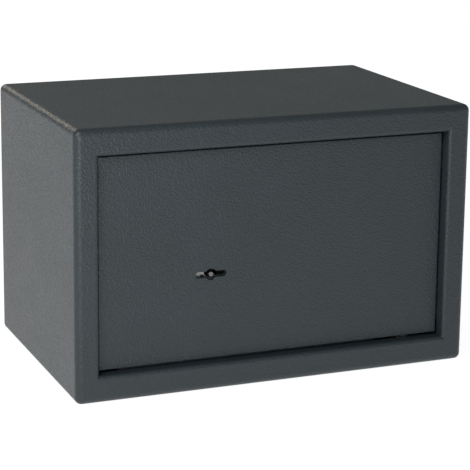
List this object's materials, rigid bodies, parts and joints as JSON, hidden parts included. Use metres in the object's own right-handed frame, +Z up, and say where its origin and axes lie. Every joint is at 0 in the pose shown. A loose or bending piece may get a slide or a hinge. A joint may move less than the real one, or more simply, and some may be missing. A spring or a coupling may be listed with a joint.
{
  "type": "key safe",
  "caption": "Small steel box safe with a flush recessed door, a concealed hinge, and a lever lock that throws round bolts behind the frame.",
  "frame": {"origin": "centre of the underside", "axes": "+Z up, the door faces -Y, +X to the right seen from the front"},
  "size_m": [0.31, 0.2, 0.2],
  "materials": {
    "textured_paint": "fine textured powder coat, dark graphite grey",
    "zinc_plate": "bright zinc plate",
    "bright_steel": "turned bright steel",
    "brass": "stamped brass",
    "spring_steel": "blued spring steel",
    "nylon": "natural nylon",
    "felt": "black needled felt"
  },
  "bodies": {
    "body": {"body_shell": "textured_paint", "front_frame": "textured_paint", "back_panel": "textured_paint", "strike_bar": "textured_paint", "door_stop_top": "textured_paint", "door_stop_bottom": "textured_paint", "hinge_bearing_top": "zinc_plate", "hinge_bearing_bottom": "zinc_plate", "hinge_washer": "nylon", "floor_mat": "felt"},
    "door": {"door_plate": "textured_paint", "hinge_bar": "zinc_plate", "hinge_pin_bottom": "bright_steel", "hinge_pin_top": "bright_steel", "hinge_side_rail": "zinc_plate", "bolt_guide": "zinc_plate", "lock_case": "zinc_plate", "lock_cover": "zinc_plate", "lever_post": "bright_steel", "cover_screw_lever": "zinc_plate", "bolt_guide_post": "bright_steel", "cover_screw_bolt": "zinc_plate", "lever_spring": "spring_steel", "lock_stud_1": "zinc_plate", "lock_stud_2": "zinc_plate", "lock_stud_3": "zinc_plate", "lock_stud_4": "zinc_plate", "lock_nut_1": "zinc_plate", "lock_nut_2": "zinc_plate", "lock_nut_3": "zinc_plate", "lock_nut_4": "zinc_plate"},
    "bolts": {"lock_bolt": "zinc_plate", "bolt_stump": "bright_steel", "bolt_carriage": "zinc_plate", "bolt_upper": "bright_steel", "bolt_lower": "bright_steel", "bolt_screw_upper": "zinc_plate", "bolt_screw_lower": "zinc_plate"},
    "barrel": {"key_barrel": "bright_steel", "drive_cam": "zinc_plate", "barrel_clip": "spring_steel"},
    "lever_1": {"lever_1": "brass"},
    "lever_2": {"lever_2": "brass"},
    "lever_3": {"lever_3": "brass"},
    "lever_4": {"lever_4": "brass"},
    "lever_5": {"lever_5": "brass"}
  },
  "joints": [
    {"name": "door_hinge", "type": "hinge", "parent": "body", "child": "door", "pos_m": [0.1117, -0.0837, 0.1], "axis": [0, 0, 1], "range_deg": [0, 130]},
    {"name": "bolt_throw", "type": "slide", "parent": "door", "child": "bolts", "axis": [-1, 0, 0], "range_m": [0, 0.014]},
    {"name": "key_turn", "type": "hinge", "parent": "door", "child": "barrel", "pos_m": [-0.05, -0.088, 0.0855], "axis": [0, 1, 0], "range_deg": [0, 180]},
    {"name": "lever_1_drop", "type": "hinge", "parent": "door", "child": "lever_1", "pos_m": [-0.029, -0.0861, 0.119], "axis": [0, -1, 0], "range_deg": [0, 5]},
    {"name": "lever_2_drop", "type": "hinge", "parent": "door", "child": "lever_2", "pos_m": [-0.029, -0.0861, 0.119], "axis": [0, -1, 0], "range_deg": [0, 5]},
    {"name": "lever_3_drop", "type": "hinge", "parent": "door", "child": "lever_3", "pos_m": [-0.029, -0.0861, 0.119], "axis": [0, -1, 0], "range_deg": [0, 5]},
    {"name": "lever_4_drop", "type": "hinge", "parent": "door", "child": "lever_4", "pos_m": [-0.029, -0.0861, 0.119], "axis": [0, -1, 0], "range_deg": [0, 5]},
    {"name": "lever_5_drop", "type": "hinge", "parent": "door", "child": "lever_5", "pos_m": [-0.029, -0.0861, 0.119], "axis": [0, -1, 0], "range_deg": [0, 5]}
  ],
  "couplings": [
    {"joint": "key_turn", "follows": "bolt_throw", "rad_per_m": 224.39}
  ]
}
